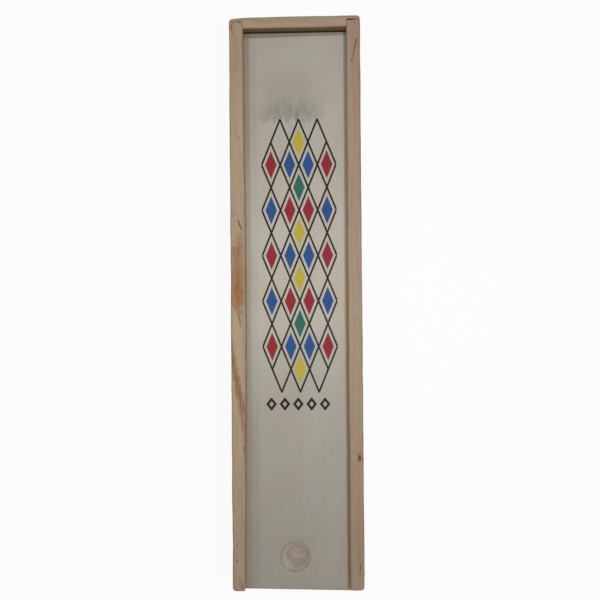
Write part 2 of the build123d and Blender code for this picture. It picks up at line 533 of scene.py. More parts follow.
def wood_colour(here, place, board, ring, fibres, pores):
    """The tones of planed wood with its rings, fibres and pores, and painted shade towards the foot."""
    colour = blend(spots(place, rosy_clouds, board.shift) * board.rosy, pale_tan, rosy_tan)
    less_where_rosy = 1.1 - 0.7 * board.rosy
    colour = blend(spots(place, olive_patches, board.shift) * less_where_rosy, colour, olive_tan)
    colour = blend(spots(place, ash_mottle, board.shift) * 0.55, colour, ash_tan)
    grain = 1.04 - ring * ring_shade - (fibres - 0.5) * fibre_shade - pores * pore_shade
    # painted shade: the wood is darker towards the foot, where the light falls off
    return shade(colour, (grain - foot_falloff(here) * falloff_shade) * board.level)


print("a ring darkens the wood by", ring_shade, "and a pore by", pore_shade)


# %% The finish of a solid board
stain_streaks = Pattern(1.6, 0.12, 2.0, 0.6, 3.0, 0.3, 0.7)
edge_wander = Pattern(0.5, 0.5, 3.0)
knot_bend = 5.0
grain_depth = 0.05
fibre_height, pore_height, ring_height, scratch_height = 0.6, 0.5, 0.12, 2.0
worn_within, worn_share = (0.75, 0.1), 0.36
bare_rough = 0.66


def board_finish(name, board, marks, joints_and_shade=False):
    """A bare planed board with its own marks. The head board also gets dark joints, and painted shade in
    its groove and on its inner face.
    """
    sheet = material_sheet(name)
    low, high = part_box(board.node)
    top = high.z / mm
    here = place_in_mm(sheet)
    place = turned(here) if board.grain_axis == 0 else here
    knot = marks_of(here, marks.knot, top) if marks.knot else None
    ring, fibres, pores = timber(place, board, knot * knot_bend if knot else 0.0)
    colour = wood_colour(here, place, board, ring, fibres, pores)
    relief = fibres * fibre_height - pores * pore_height - ring * ring_height
    if marks.brown:
        streaky = 0.6 + spots(place, stain_streaks, board.shift) * 0.4
        colour = blend(marks_of(here, marks.brown, top) * streaky, colour, streak_brown)
    if knot:
        colour = blend(knot * 0.95, colour, knot_orange)
    if marks.dark:
        dark = marks_of(here, marks.dark, top)
        colour = blend(dark * 0.85, colour, dark_line)
        relief = relief - dark * scratch_height
    end_grain = sawn_end(sheet, board.grain_axis)
    colour = shade(colour, 1 - end_grain * 0.2 - end_grain * ring * 0.12)
    arris = arris_distance(here, low, high) + (streaks(here, edge_wander) - 0.5) * 0.9
    worn = step(arris, *worn_within)
    colour = blend(worn * worn_share, colour, old_dirt)
    if joints_and_shade:
        colour = head_joints_and_shade(here, colour, top)
    rough = bare_rough + (fibres - 0.5) * 0.2 + end_grain * 0.12 - worn * 0.12
    return finish_wood(sheet, colour, rough, relief, grain_depth)


left_wood = board_finish("left_rail_wood", left_board, left_marks)
right_wood = board_finish("right_rail_wood", right_board, right_marks)
head_wood = board_finish("head_board_wood", head_board, no_marks, joints_and_shade=True)
foot_wood = board_finish("foot_board_wood", foot_board, no_marks)
for wood in (left_wood, right_wood, head_wood, foot_wood):
    print(wood.name, len(wood.node_tree.nodes), "nodes")

# %% [markdown]
# ## Plywood
# The lid and the base are three veneers. The outer two have their grain along the box, the middle one
# lies across, and thin dark glue lines part them. A height inside the board says which veneer a point
# belongs to, so the plies show at the edges and in the finger recess, which is cut down into the middle
# ply.

# %% Colours of veneer
veneer_pale = tone(184, 182, 170)
veneer_warm = tone(184, 177, 164)
core_tone = tone(148, 137, 125)
core_pale = tone(161, 149, 138)
glue_tone = tone(110, 90, 71)
glue_line, glue_share = 0.05, 0.75
veneer_gloss = 0.1
print("a veneer is", round((lid_high.z - lid_low.z) / mm / 3, 2), "mm thick and a glue line", glue_line)


# %% Outer and middle veneers
veneer_dashes = Pattern(7.0, 0.5, 1.0, 0.5, 23.0, 0.64, 0.74)
veneer_clouds = Pattern(0.09, 0.035, 3.0, 0.55, 11.0, 0.35, 0.65)
veneer_ripple = Pattern(0.5, 0.035, 2.0, 0.5, 17.0)
cutter_scrapes = Pattern(0.22, 0.3, 2.0, 0.5, 29.0, 0.42, 0.62)


def face_veneer(place, fibres, shift):
    """The colour of an outer veneer, with fibres, short dashes and a slow ripple."""
    face = blend(spots(place, veneer_clouds, shift), veneer_pale, veneer_warm)
    ripple = (streaks(place, veneer_ripple, shift) - 0.5) * 0.07
    dashes = spots(place, veneer_dashes, shift) * 0.07
    return shade(face, 1.02 - (fibres - 0.5) * 0.14 - ripple - dashes)


def core_veneer(place, fibres, shift):
    """The colour of the middle veneer, paler where the cutter scraped it."""
    core = blend(spots(place, cutter_scrapes, shift), core_tone, core_pale)
    return shade(core, 1.02 - (fibres - 0.5) * 0.3)


print("dashes of the outer veneers in a millimetre across:", veneer_dashes.across)


# %% Three veneers, one on the other
outer_fibres = Pattern(6.0, 0.11, 3.0, 0.62)
inner_fibres = Pattern(4.0, 0.2, 3.0, 0.6, 7.0)


def veneers(sheet, place, low, high, shift):
    """Colour, fibres and a mask of the middle ply for a board of three veneers."""
    ply = (high.z - low.z) / mm / 3
    off_middle = size_of(split(place)[2] - (low.z / mm + 1.5 * ply))
    core = off_middle < ply / 2
    face_fibres = streaks(place, outer_fibres, shift)
    core_fibres = streaks(turned(place), inner_fibres, shift)
    colour = blend(core, face_veneer(place, face_fibres, shift), core_veneer(place, core_fibres, shift))
    glue = step(size_of(off_middle - ply / 2), glue_line, glue_line / 2)
    colour = blend(glue * glue_share, colour, glue_tone)
    end_grain = sawn_end(sheet, 1) * (1 - core) + sawn_end(sheet, 0) * core
    colour = shade(colour, 1 - end_grain * 0.22)
    return colour, face_fibres + core * (core_fibres - face_fibres), core


print("fibres of the outer veneers run along Y, those of the core along X")

# %% [markdown]
# ## The printed ornament
# A lattice of tall lozenges is printed on the lid, a harlequin pattern as old as playing cards: dark
# outlines, and a smaller coloured lozenge inside some of them. The lattice has two slanted coordinates,
# and whole numbers of either are its lines. A cell is named by its column and row, and only whole cells
# inside the banner are printed, so that it ends in points.

# %% Sizes and inks of the ornament
ornament_middle = (1.1, 17.3)
lozenge = (6.55, 16.0)
last_column = 3
last_row = 5
line_width = 0.66
filled_share = 0.31
ink_black = tone(12, 10, 8)
ink_red = tone(142, 34, 45)
ink_blue = tone(34, 76, 138)
ink_yellow = tone(186, 168, 56)
ink_teal = tone(38, 100, 90)
print("the banner is", (last_row + 1) * lozenge[1], "mm long")


# %% The lines of the lattice
line_blur = 0.06


def inside(column, row):
    """1 for a lozenge of the banner, by its column and row in half steps from the middle."""
    narrow = size_of(column) < last_column + 0.5
    return narrow * (size_of(row) < last_row + 0.5)


def lattice_lines(sheet, one, other, turn):
    """The printed lines at whole numbers of one slanted coordinate, where a lozenge lies beside them."""
    nearest = sheet.math("ROUND", one)
    cell = sheet.math("FLOOR", other)
    slope = ((1 / lozenge[0]) ** 2 + (1 / lozenge[1]) ** 2) ** 0.5
    away = size_of(one - nearest) / slope
    line = step(away, line_width / 2 + line_blur, line_width / 2 - line_blur)
    column = nearest + cell
    row = (nearest - cell) * turn
    beside = sheet.math("MAXIMUM", inside(column + 1, row), inside(column, row - turn))
    return line * beside


print("lines are", line_width, "mm wide")


# %% The coloured lozenges
fill_blur = 0.012


def ornament(place):
    """Masks of the ink line and of each coloured ink."""
    sheet = place.sheet
    x, y, _ = split(place)
    sideways = (x - ornament_middle[0]) / lozenge[0]
    upwards = (y - ornament_middle[1]) / lozenge[1]
    rising = sideways + upwards
    falling = sideways - upwards
    down_right = lattice_lines(sheet, rising, falling, 1)
    up_right = lattice_lines(sheet, falling, rising, -1)
    first = sheet.math("FLOOR", rising)
    second = sheet.math("FLOOR", falling)
    column = first + second + 1
    row = first - second
    reach = sheet.math("MAXIMUM", size_of(rising - first - 0.5), size_of(falling - second - 0.5))
    filled = step(reach, filled_share + fill_blur, filled_share - fill_blur) * inside(column, row)
    odd_row = sheet.math("PINGPONG", row, 1.0)
    swap = sheet.math("PINGPONG", row / 2 + (size_of(column) > 2), 1.0)
    centre = filled * odd_row * (size_of(column) < 1)
    teal = sheet.math("COMPARE", size_of(row), 3.0, 0.5)
    return {
        "line": sheet.math("MAXIMUM", down_right, up_right),
        "red": filled * (1 - odd_row) * swap,
        "blue": filled * (1 - odd_row) * (1 - swap),
        "yellow": centre * (1 - teal),
        "teal": centre * teal,
    }


print("a coloured lozenge takes", 2 * filled_share, "of its cell's width")

# %% [markdown]
# Below the banner a short row of small dark lozenges closes the print. It is the same idea in one
# direction: a repeated coordinate, and the sum of two distances as the lozenge.

# %% The small row
row_middle = (0.3, -34.9)
row_pitch = 4.7
row_half = 2
row_lozenge = (1.9, 2.4)
row_hollow = 0.42
row_blur = 0.03


def small_row(place):
    """Mask of five small lozenges with open centres."""
    sheet = place.sheet
    x, y, _ = split(place)
    steps_off = (x - row_middle[0]) / row_pitch
    number = sheet.math("ROUND", steps_off)
    sideways = size_of(steps_off - number) * (row_pitch / row_lozenge[0])
    upwards = size_of(y - row_middle[1]) / row_lozenge[1]
    reach = sideways + upwards
    filled = step(reach, 1 + row_blur, 1 - row_blur)
    open_middle = step(reach, row_hollow - row_blur, row_hollow + row_blur)
    return filled * open_middle * (size_of(number) < row_half + 0.5)


print("the small row is", 2 * row_half * row_pitch, "mm from the first middle to the last")

# %% [markdown]
# ## The lid's finish
# The lid is pale plywood with the print on it. It has a grey smudge above the print, and painted shade:
# warm shadows along the rails, a soft band along the left rail, a shadow under the head board, and
# ends that are darker where the light falls off, the foot most. Each of them is a product of soft
# thresholds in X and Y.

# %% The smudge above the print
smudge_from, smudge_to = 65.0, 90.0
smudge_right, smudge_left = (12.5, 2.0), (-17.0, -5.0)
faint_smudge, strong_smudge = 0.18, 0.125
ragged_by = 2.2


def smudge(x, y, dust):
    """How much the smudge darkens the lid: strong just above the print, faint further up."""
    faint = step(y, smudge_to, smudge_from + 3) * faint_smudge
    strong = step(y, smudge_from + 9, smudge_from + 0.5) * strong_smudge
    lower_edge = step(y + dust * ragged_by, smudge_from - 0.6, smudge_from + 2.6)
    sides = step(x, *smudge_right) * step(x, *smudge_left)
    return (faint + strong) * lower_edge * sides * (0.76 + dust * 0.5)


print("the smudge lies from", smudge_from, "to", smudge_to, "mm")


# %% Painted shade towards the ends and along the left rail
# painted shade: the lid's ends are darker where the light falls off, and a band runs along the left rail
lid_falloff_share = 0.15
foot_fade, foot_shade = (4.0, -38.0), 0.155
upper_fade, upper_shade = (20.0, 72.0), 0.085
lighter_right_fade, lighter_right_by = (2.0, 15.0), 0.1
band_edge, band_head, band_shade = (-13.1, -13.9), (94.0, 89.0), 0.048
denser_fade, denser_by = (50.0, 62.0), 0.025
corner_edge, corner_fade, corner_shade = (-15.5, -17.5), (20.0, -30.0), 0.04


def lid_end_falloff(place, x, y):
    """How much painted shade darkens the lid where the light falls off: the foot most, the head end
    less, the right side a little less.
    """
    ends = step(y, *foot_fade) * foot_shade + step(y, *upper_fade) * upper_shade
    return (foot_falloff(place) * lid_falloff_share + ends) * (1 - step(x, *lighter_right_fade) * lighter_right_by)


def left_rail_penumbra(x, y):
    """How much painted shade darkens the lid along the left rail, as the rail's soft shadow, more near
    the rail towards the foot.
    """
    # painted shade: the left rail's soft shadow on the lid
    dirt = band_shade + step(y, *denser_fade) * denser_by
    corner = step(x, *corner_edge) * step(y, *corner_fade) * corner_shade
    return step(x, *band_edge) * step(y, *band_head) * dirt + corner


print("the dull band is", round(band_edge[0] + rail_edge, 1), "mm wide")


# %% Painted shadows and shade on the lid
dust_streaks = Pattern(0.8, 0.24, 3.0, 0.6, 40.0, 0.36, 0.7)
# painted shadows of the rails on the lid, warm as if lit by light off the wood
rail_shadow_width = 2.8
rail_shadow_tan = tone(179, 148, 113)
rail_shadow_grey = tone(159, 145, 128)
head_shadow_grey = tone(130, 118, 100)


def lid_dirt_and_shade(place, colour, upper):
    """Darkens the lid's upper face with the smudge and with painted shade: towards the ends, along the
    rails and under the head board.
    """
    x, y, _ = split(place)
    dust = spots(place, dust_streaks)
    colour = shade(colour, 1 - (smudge(x, y, dust) + lid_end_falloff(place, x, y) + left_rail_penumbra(x, y)) * upper)
    # painted shadows of the left and right rails, warmed as by light bounced off the rails
    soft_rail_shadow = step(x, rail_shadow_width - rail_edge, 0.9 - rail_edge) * (0.36 + dust * 0.34)
    hard_rail_shadow = step(x, 2.0 - rail_edge, 1.7 - rail_edge) * step(y, 25.0, 60.0) * 0.75
    left_rail_shadow = place.sheet.math("MAXIMUM", soft_rail_shadow, hard_rail_shadow)
    right_rail_shadow = step(x, rail_edge - 1.6, rail_edge - 1.0) * step(y, 95.0, -20.0) * 0.55
    # painted shadow of the head board across the lid
    head_shadow_band = step(y - x * 0.018, head_face - 1.65, head_face - 1.35) * 0.75
    colour = blend(left_rail_shadow * upper, colour, rail_shadow_grey)
    colour = blend(right_rail_shadow * upper, colour, rail_shadow_tan)
    return blend(head_shadow_band * upper, colour, head_shadow_grey)


print("the rubbed line is up to", rail_shadow_width, "mm wide")

# %% [markdown]
# The finger recess was cut with a bit that wandered: its core isn't in the middle of its rim. A paler
# stripe runs across the floor, whose sides are painted darker as shade, and a fine dark line of painted
# shade runs round the rim.

# %% Marks and painted shade in the recess
recess_middle = Vector((-1.1 * mm, lid_low.y + 11.3 * mm, lid_high.z))
rim_radius = 5.1 * mm
core_radius = 3.9 * mm
core_shift = Vector((0.65, 0.2, 0.0)) * mm
rim_tone = tone(171, 160, 147)
cutter_wander = Pattern(0.25, 0.25, 2.0, 0.5, 90.0)


def recess_marks(place, colour, upper):
    """Tints the recess: a pale rim with a line of painted shade round it, a paler stripe across the
    core, and painted shade on its sides.
    """
    sheet = place.sheet
    x, y, _ = split(place)
    right = x - recess_middle.x / mm
    back = y - recess_middle.y / mm
    reach = sheet.math("SQRT", right * right + back * back)
    rim = step(reach, rim_radius / mm + 0.1, rim_radius / mm - 0.2)
    # painted shade: a dark line round the rim
    line = step(size_of(reach - rim_radius / mm), 0.45, 0.1)
    colour = blend(rim * upper * 0.3, colour, rim_tone)
    slope = right - back + (streaks(place, cutter_wander) - 0.5) * 3.0
    pale_stripe = step(size_of(slope + 0.3), 1.6, 0.2) * 0.07
    # painted shade: the floor's sides are darker
    shaded_sides = step(slope, 1.0, 4.0) * 0.1 + step(slope, -1.5, -4.0) * 0.05
    return shade(colour, 1 - line * 0.17 + (pale_stripe - shaded_sides) * rim)


print("the core lies", round(core_shift.length / mm, 2), "mm off the middle of its rim")


# %% The lid's finish
lid_shift = 2.0
ink_wear = Pattern(3.5, 1.4, 3.0, 0.6, 23.0, 0.6, 0.8)
lid_edge_wander = Pattern(0.6, 0.6, 3.0)
lid_grain_depth = 0.025
lid_rough = 0.62
ink_strength, ink_worn_by = 0.98, 0.25


def lid_finish():
    """Pale plywood with the print, its smudge, rubbed edges and painted shade."""
    sheet = material_sheet("printed_lid_veneer")
    place = place_in_mm(sheet)
    _, y, z = split(place)
    colour, fibres, core = veneers(sheet, place, lid_low, lid_high, lid_shift)
    top = lid_high.z / mm
    upper = step(z, top - 0.5, top - 0.4)
    colour = recess_marks(place, lid_dirt_and_shade(place, colour, upper), upper)
    worn_ink = ink_strength - spots(place, ink_wear) * ink_worn_by
    printed = worn_ink * step(z, top - 0.12, top - 0.04)
    masks = ornament(place)
    for name, ink in (("red", ink_red), ("blue", ink_blue), ("yellow", ink_yellow), ("teal", ink_teal)):
        colour = blend(masks[name] * printed, colour, ink)
    black = sheet.math("MAXIMUM", masks["line"], small_row(place)) * printed
    colour = blend(black, colour, ink_black)
    arris = arris_distance(place, lid_low, lid_high) + (streaks(place, lid_edge_wander) - 0.5) * 0.8
    colour = blend(step(arris, 0.6, 0.0) * 0.35, colour, old_dirt)
    # painted shadow: a dark line where the lid runs under the head board
    groove_shadow_line = step(y, head_face - 0.3, head_face - 0.1) * step(y, head_face + 1.1, head_face + 0.4)
    colour = blend(groove_shadow_line * 0.95, colour, dark_joint_and_groove_shade)
    rough = lid_rough + (fibres - 0.5) * 0.18 + core * 0.1 - black * 0.14
    return finish_wood(sheet, colour, rough, fibres, lid_grain_depth, veneer_gloss)


lid_wood = lid_finish()
print(lid_wood.name, len(lid_wood.node_tree.nodes), "nodes")


# %% The base's finish
base_shift = 60.0
base_grain_depth = 0.04
base_rough = 0.68


def base_finish():
    """The same plywood without a print, a little darker."""
    sheet = material_sheet("base_veneer")
    place = place_in_mm(sheet)
    colour, fibres, core = veneers(sheet, place, base_low, base_high, base_shift)
    colour = shade(colour, 0.97 - core * 0.02)
    rough = base_rough + (fibres - 0.5) * 0.2
    return finish_wood(sheet, colour, rough, fibres, base_grain_depth, veneer_gloss)


base_wood = base_finish()
print(base_wood.name, len(base_wood.node_tree.nodes), "nodes")

# %% [markdown]
# ## Painted sticks
# Each stick is turned from pale wood and dipped or banded with thin gloss paint. The bands follow the
# stick, not the box, so the mesh carries its own coordinates in an attribute that is written before the
# stick is laid in place.

# %% Paint bands
stick_length = 180.0
stick_wood_tone = tone(205, 178, 138)
stick_wood_deep = tone(186, 154, 112)
paint_red = tone(158, 38, 44)
paint_blue = tone(34, 76, 146)
paint_yellow = tone(206, 180, 52)
bands_of = {
    "two_point_stick": (paint_red, paint_blue),
    "three_point_stick": (paint_red, paint_yellow, paint_blue),
    "five_point_stick": (paint_red, paint_blue, paint_red, paint_blue, paint_red),
    "ten_point_stick": (paint_blue, paint_red, paint_blue),
    "twenty_point_stick": (),
}
outer_band = 63.0
band_half = 10.5
five_band_half = band_half * 0.75
band_luck = 3.0
band_blur = 0.12
print("bands by kind:", {kind: len(bands) for kind, bands in bands_of.items()})


# %% Bare wood of a stick
stick_fibres = Pattern(5.0, 0.1, 3.0, 0.6, 4.0)
stick_clouds = Pattern(0.6, 0.03, 2.0, 0.5, 8.0, 0.3, 0.7)


def stick_wood(place):
    """Colour and fibres of a turned stick."""
    fibres = streaks(place, stick_fibres)
    colour = blend(spots(place, stick_clouds), stick_wood_tone, stick_wood_deep)
    return shade(colour, 1.03 - (fibres - 0.5) * 0.3), fibres


print("fibres of a stick in a millimetre across:", stick_fibres.across)


# %% Bands and the spiral
spiral_pitch = 22.0
spiral_end = 76.0
stripe_half = 0.245
stripe_blur = 0.01


def band_mask(along, ragged, middle, half):
    """1 inside a painted band, with an edge as uneven as a brush leaves it."""
    return step(size_of(along - middle) + ragged, half + band_blur, half - band_blur)


def banded(colour, along, ragged, luck, bands):
    """Lays the bands of one kind of stick over its wood."""
    painted = None
    half = band_half if len(bands) < 5 else five_band_half
    for number, paint in enumerate(bands):
        middle = outer_band * (1 - 2 * number / (len(bands) - 1)) + (luck - 0.5) * band_luck
        mask = band_mask(along, ragged, middle, half)
        colour = blend(mask, colour, paint)
        painted = mask if painted is None else painted + mask
    return colour, painted


def spiralled(colour, x, along, z, ragged):
    """Winds one blue stripe round the stick."""
    sheet = along.sheet
    coil = sheet.math("FRACT", sheet.math("ARCTAN2", x, z) / (2 * pi) + (along + ragged) / spiral_pitch)
    stripe = step(size_of(coil - 0.5), stripe_half + stripe_blur, stripe_half - stripe_blur)
    painted = stripe * band_mask(along, ragged, 0.0, spiral_end)
    return blend(painted, colour, paint_blue), painted


print("the spiral turns", round(2 * spiral_end / spiral_pitch, 1), "times")


# %% The finish of each kind of stick
brush_edge = Pattern(0.9, 0.5, 2.0, 0.5, 15.0)
brush_wander = 0.7
luck_spread = 300.0
stick_grain_depth = 0.03
bare_stick_rough, paint_smoother, paint_fills = 0.6, 0.27, 0.75


def stick_finish(kind):
    """Turned wood with the paint of one kind of stick."""
    sheet = material_sheet(kind + "_paint")
    own = sheet.node("Attribute", {"attribute_name": "own_place"}, {}, output="Vector")
    luck = sheet.node("Attribute", {"attribute_name": "luck"}, {}, output="Fac")
    x, along, z = split(sheet.scaled(own, 1 / mm))
    place = join(sheet, x, along + luck * luck_spread, z)
    colour, fibres = stick_wood(place)
    ragged = (streaks(place, brush_edge) - 0.5) * brush_wander
    if bands_of[kind]:
        colour, painted = banded(colour, along, ragged, luck, bands_of[kind])
    else:
        colour, painted = spiralled(colour, x, along, z, ragged)
    rough = bare_stick_rough - painted * paint_smoother + (fibres - 0.5) * 0.15
    relief = fibres * (1 - painted * paint_fills)
    return finish_wood(sheet, colour, rough, relief, stick_grain_depth)


stick_finishes = {kind: stick_finish(kind) for kind in bands_of}
print("stick finishes:", list(stick_finishes))

# %% [markdown]
# ## Boards as meshes
# A planed board has no knife edges. Each board starts as its section, is pushed to its length, is cut
# across every few millimetres, and has its outer edges rounded with a bevel. The cuts give the bevel
# points that a little noise can move, so an edge is worn unevenly, as handling leaves it.

# %% Push and cut a board
cut_spacing = 3.0 * mm
near = 0.01 * mm
same_place = 1e-7


def all_of(bm):
    return bm.verts[:] + bm.edges[:] + bm.faces[:]


def along_axis(axis):
    return Vector([float(i == axis) for i in range(3)])


def slice_at(bm, point, normal):
    """Cuts edges into the board where a plane crosses it."""
    bmesh.ops.bisect_plane(bm, geom=all_of(bm), plane_co=point, plane_no=normal, dist=same_place)


def extrude(bm, faces, way):
    """Pushes faces along a vector and returns the faces at the far end."""
    edges = list({e for f in faces for e in f.edges})
    made = bmesh.ops.extrude_face_region(bm, geom=faces + edges)["geom"]
    bmesh.ops.translate(bm, verts=[v for v in made if isinstance(v, bmesh.types.BMVert)], vec=way)
    return [f for f in made if isinstance(f, bmesh.types.BMFace)]


def cut_across(bm, axis, low, high):
    """Cuts the board across its length at even steps."""
    count = int((high - low) / cut_spacing)
    normal = along_axis(axis)
    for number in range(1, count):
        slice_at(bm, normal * (low + (high - low) * number / count), normal)


print("a rail gets", int((rail_high.y - rail_low.y) / cut_spacing) - 1, "cuts")

# %% [markdown]
# The bevel takes only edges that a small test says yes to, such as those at the top. Wear pushes the
# rounded points inwards along their normals, never out, so a board stays inside the size it has in the
# frame. The normals are worked out anew first, because a pushed section can start inside out.

# %% Round and wear the edges
sharp_angle = radians(38)
wear_depth = 0.14 * mm
dent_size, nick_size = 6 * mm, 1.4 * mm
usual_wear, nick_share = 0.45, 0.4


def round_edges(bm, chosen, radius, segments):
    """Rounds the edges for which chosen says yes to both ends, and returns the new points."""
    sharp = [e for e in bm.edges if e.calc_face_angle(0.0) > sharp_angle]
    edges = [e for e in sharp if chosen(e.verts[0].co, e.verts[1].co)]
    made = bmesh.ops.bevel(
        bm,
        geom=edges,
        offset=radius,
        offset_type="OFFSET",
        segments=segments,
        profile=0.5,
        affect="EDGES",
        clamp_overlap=True,
        material=-1,
    )
    return made["verts"]


def wear(bm, points, seed):
    """Moves rounded edges in by uneven amounts, never out."""
    bmesh.ops.recalc_face_normals(bm, faces=bm.faces)
    bm.normal_update()
    for point in points:
        if point.is_valid:
            dent = noise.noise(point.co / dent_size + Vector((seed, 0, 0)))
            nick = noise.noise(point.co / nick_size + Vector((0, seed, 0)))
            point.co -= point.normal * max(0.0, usual_wear + dent + nick_share * nick) * wear_depth


print("edges flatter than", round(sharp_angle * 180 / pi), "degrees stay smooth")


# %% Turn a mesh into a piece
def finish_piece(name, bm, material, body, node):
    """Makes the object, smooth except at its corners, hides the frame's part that it stands in for and
    hangs it on its body.
    """
    bmesh.ops.recalc_face_normals(bm, faces=bm.faces)
    for face in bm.faces:
        face.smooth = True
    for edge in bm.edges:
        edge.smooth = edge.calc_face_angle(0.0) < sharp_angle
    open_edges = sum(not e.is_manifold for e in bm.edges)
    mesh = bpy.data.meshes.new(name)
    bm.to_mesh(mesh)
    bm.free()
    mesh.materials.append(material)
    piece = bpy.data.objects.new(name, mesh)
    bpy.context.scene.collection.objects.link(piece)
    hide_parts(node)
    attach(piece, body)
    print(name, len(mesh.polygons), "faces,", open_edges, "open edges")


# %% [markdown]
# ## The side rails
# The section of a rail has the lid's groove and the base's rebate on its inner side. The upper outer
# edge and the bare end over the foot board are rounded. No two rails are alike: the left one is wider in
# the middle than at the foot, and it ends nearly half a millimetre late. On the right-hand rail the glue
# has let go at the head end, so the joint gapes at the top and closes further down.

# %% The section of a rail
top_round = 0.8 * mm
under_round = 0.4 * mm
inner_round = 0.25 * mm
corner_round = 1.2 * mm
line_insets = (0.55 * mm, 1.2 * mm)
rail_section = (
    (rail_high.x, rail_low.z),
    (rail_high.x, rail_high.z),
    (inner_edge, rail_high.z),
    (inner_edge, groove_top),
    (groove_wall, groove_top),
    (groove_wall, groove_floor),
    (inner_edge, groove_floor),
    (inner_edge, base_high.z),
    (groove_wall, base_high.z),
    (groove_wall, rail_low.z),
)


def grooved_board(side):
    """The rail as a sharp-edged board: its section, pushed along and cut across."""
    bm = bmesh.new()
    face = bm.faces.new([bm.verts.new((side * x, rail_low.y, z)) for x, z in rail_section])
    extrude(bm, [face], (0, rail_high.y - rail_low.y, 0))
    cut_across(bm, 1, rail_low.y, rail_high.y)
    slice_at(bm, (0, 0, groove_floor), along_axis(2))
    for inset in line_insets:
        slice_at(bm, (side * (inner_edge + inset), 0, 0), along_axis(0))
    return bm


print("the section has", len(rail_section), "corners")


# %% Which edges of a rail are rounded
def at_bare_corner(a, b):
    at_foot = all(p.y < rail_low.y + near and p.z > groove_floor - near for p in (a, b))
    return at_foot and all(abs(p.x) > rail_high.x - near for p in (a, b))


def at_rail_rim(a, b):
    off_head = any(p.y < rail_high.y - near for p in (a, b))
    off_inside = any(abs(p.x) > inner_edge + near for p in (a, b))
    return off_head and off_inside and all(p.z > rail_high.z - near for p in (a, b))


def at_rail_inside(a, b):
    return all(p.z > rail_high.z - near and abs(p.x) < inner_edge + near for p in (a, b))


def under_rail(a, b):
    return all(p.z < rail_low.z + near and abs(p.x) > rail_high.x - near for p in (a, b))


rail_edges = (
    (at_bare_corner, corner_round, 5),
    (at_rail_rim, top_round, 5),
    (at_rail_inside, inner_round, 2),
    (under_rail, under_round, 3),
)
print("rail edges are rounded by, in mm:", in_mm(radius for _, radius, _ in rail_edges))

# %% [markdown]
# The hand-made differences are moves of whole groups of points, along smooth curves, after the edges are
# rounded. The inner edge above the groove swells or shrinks, the end over the foot board is pulled
# out, and its inner corner is rubbed round.

# %% Shape and model the rails
Hand = namedtuple("Hand", "joint_gap swell foot_loss overhang seed")
joint_bottom = 12.0 * mm
edge_strip = 0.3 * mm
end_strip = 2.0 * mm
corner_rub = 0.4 * mm
rub_reach = 0.4 * mm


def hand_shape(bm, side, hand):
    """Moves the points of a rail as its maker's plane and saw left them."""
    half = rail_high.y
    for point in bm.verts:
        inwards = abs(point.co.x) - inner_edge
        if inwards < edge_strip and point.co.z > groove_top - near:
            middle = cos(pi * point.co.y / (2 * half)) ** 2
            foot = max(0.0, -point.co.y / half) ** 1.5
            point.co.x -= side * (hand.swell * middle - hand.foot_loss * foot)
        if point.co.y < rail_low.y + end_strip and point.co.z > groove_floor + near:
            point.co.y -= hand.overhang
            if point.co.z > groove_top - near and point.co.y < rail_low.y - hand.overhang + corner_rub:
                point.co.y += corner_rub * exp(-max(0.0, inwards) / rub_reach)
        if point.co.y > half - near and point.co.z > joint_bottom:
            point.co.y -= hand.joint_gap * (point.co.z - joint_bottom) / (rail_high.z - joint_bottom)


def side_rail(name, node, side, material, hand):
    """One rail. Side is 1 on the right and -1 on the left."""
    bm = grooved_board(side)
    rounded = [point for edge in rail_edges for point in round_edges(bm, *edge)]
    wear(bm, rounded, hand.seed)
    hand_shape(bm, side, hand)
    finish_piece(name, bm, material, "box", node)


left_hand = Hand(joint_gap=0.18 * mm, swell=0.4 * mm, foot_loss=0.45 * mm, overhang=0.42 * mm, seed=3.0)
right_hand = Hand(joint_gap=0.42 * mm, swell=0.05 * mm, foot_loss=0.0, overhang=0.0, seed=8.0)
side_rail("left_rail_board", "left_rail", -1, left_wood, left_hand)
side_rail("right_rail_board", "right_rail", 1, right_wood, right_hand)

# %% [markdown]
# ## The end boards
# Their section is a small grid of cells: an outer strip over the full height, and an inner part that is
# left out where the lid's groove and the base's rebate run. The strip alone goes on past the rails as a
# lip on either side.

# %% The section of an end board
def lipped_board(side, low, high, heights, solid):
    """A sharp-edged end board. Heights part it into levels, and solid says which are full depth."""
    inner, outer = sorted((abs(low.y), abs(high.y)))
    bm = bmesh.new()
    grid = []
    for z in heights:
        grid.append([bm.verts.new((-inner_edge, side * y, z)) for y in (inner, lip_back, outer)])
    cells = []
    for full, below, above in zip(solid, grid, grid[1:]):
        cells.append(bm.faces.new((below[1], below[2], above[2], above[1])))
        if full:
            cells.append(bm.faces.new((below[0], below[1], above[1], above[0])))
    bmesh.ops.delete(bm, geom=[v for v in bm.verts if not v.link_faces], context="VERTS")
    extrude(bm, cells, (2 * inner_edge, 0, 0))
    for end in (-1, 1):
        at_end = [f for f in bm.faces if all(abs(v.co.x - end * inner_edge) < near for v in f.verts)]
        lips = [f for f in at_end if all(abs(v.co.y) > lip_back - near for v in f.verts)]
        extrude(bm, lips, (end * (rail_high.x - inner_edge), 0, 0))
    bmesh.ops.recalc_face_normals(bm, faces=bm.faces)
    cut_across(bm, 0, low.x, high.x)
    return bm


head_levels = (head_low.z, base_high.z, groove_floor, groove_top, head_high.z)
foot_levels = (foot_low.z, base_high.z, foot_high.z)
print("levels of the head board in mm:", in_mm(head_levels))


